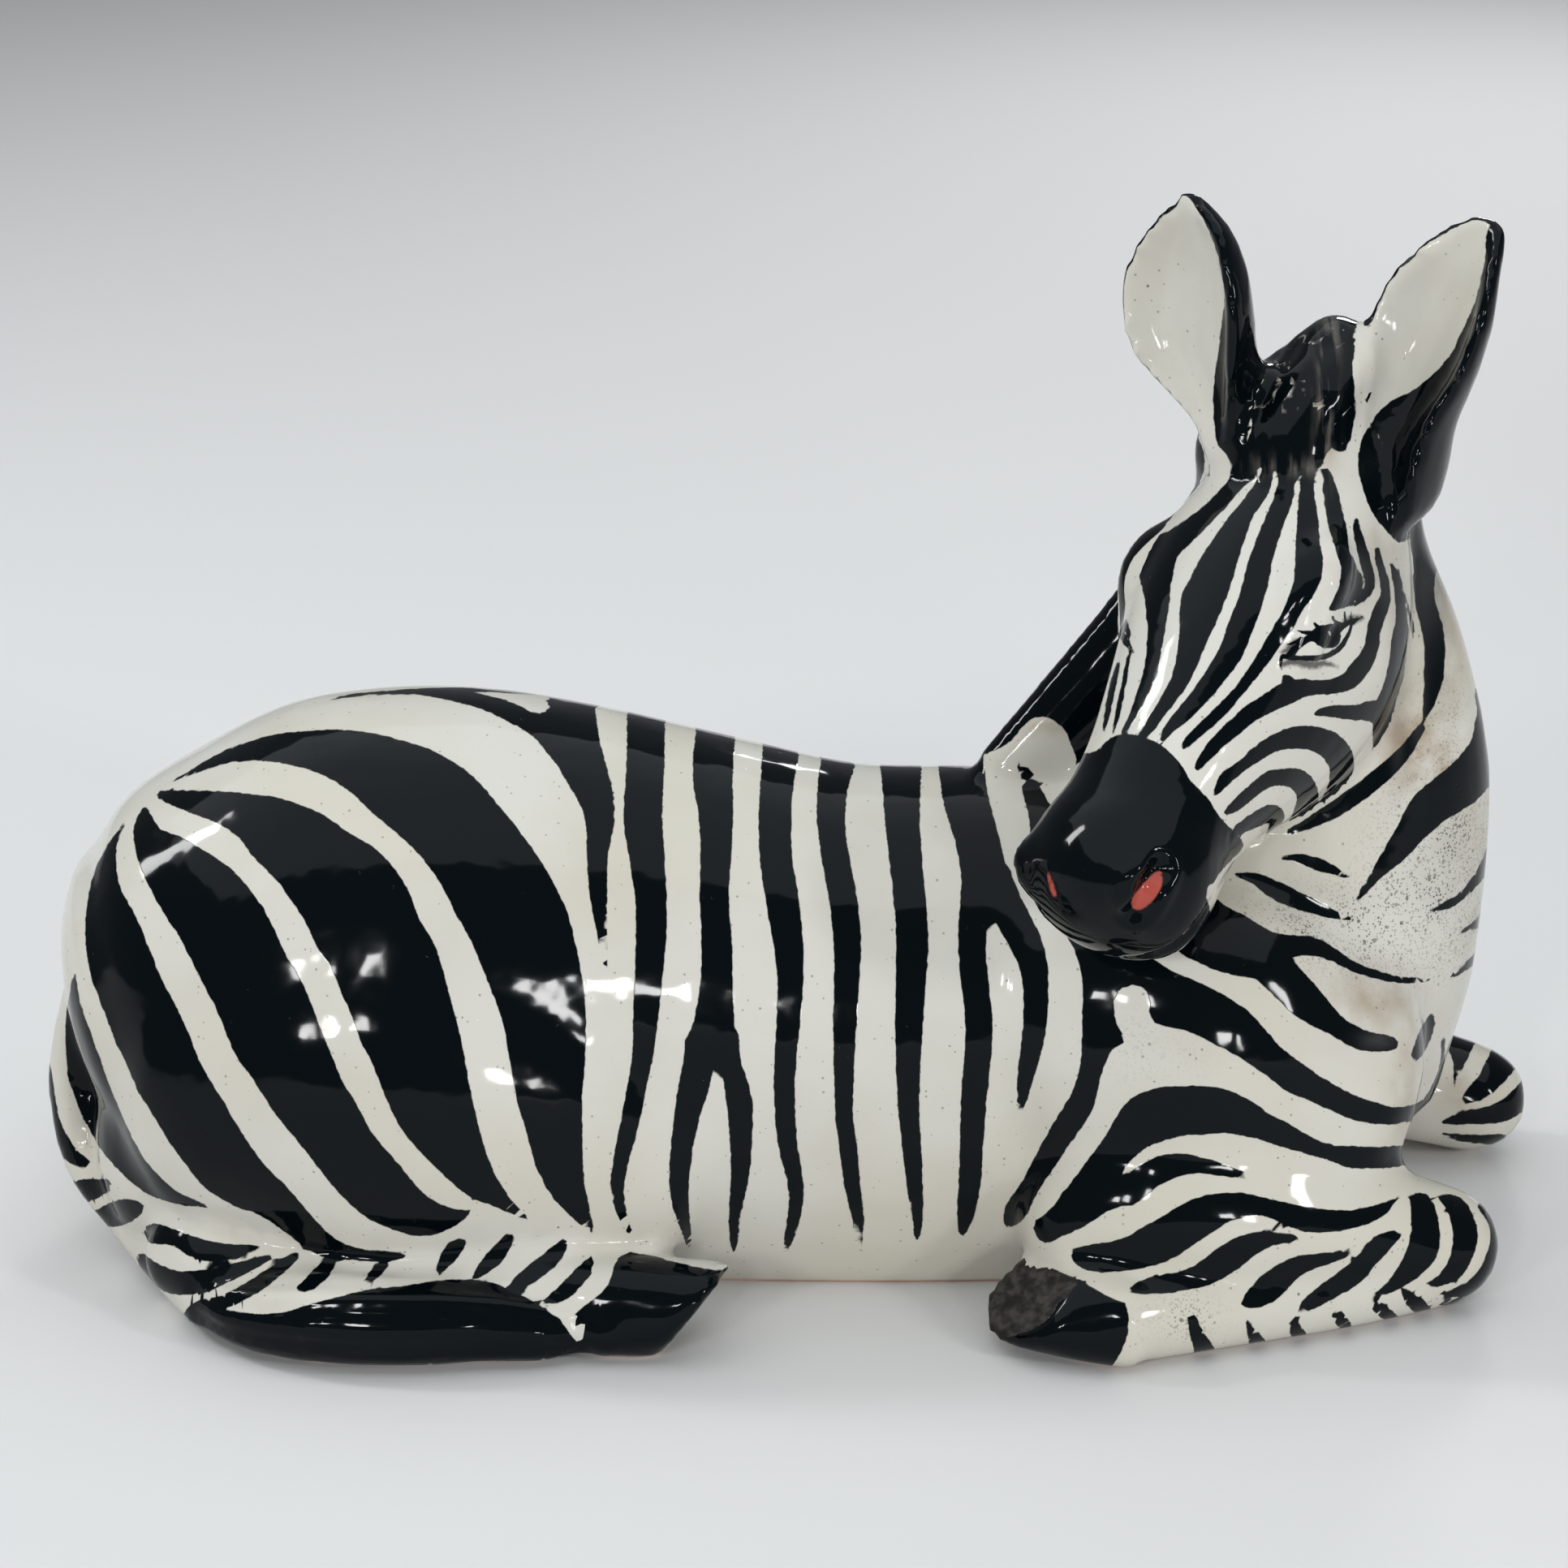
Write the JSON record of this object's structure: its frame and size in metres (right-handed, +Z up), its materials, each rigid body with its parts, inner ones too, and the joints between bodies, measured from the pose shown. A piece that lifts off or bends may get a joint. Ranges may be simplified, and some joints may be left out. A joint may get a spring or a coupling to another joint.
{
  "type": "zebra figurine",
  "caption": "Ceramic figurine of a zebra lying down with its legs folded, its neck raised and its head turned back over one shoulder; it stands on its own flat underside",
  "frame": {"origin": "on the ground, under the middle of the figure's box", "axes": "+Z up; X runs along the body, +X towards the chest and knees, -X towards the rump; the head is turned back to the -Y side"},
  "size_m": [0.447, 0.2036, 0.3156],
  "materials": {
    "glazed_earthenware": "clear high-gloss glaze over warm white clay hand-painted in black"
  },
  "bodies": {
    "root": {"zebra": "glazed_earthenware"}
  },
  "joints": []
}
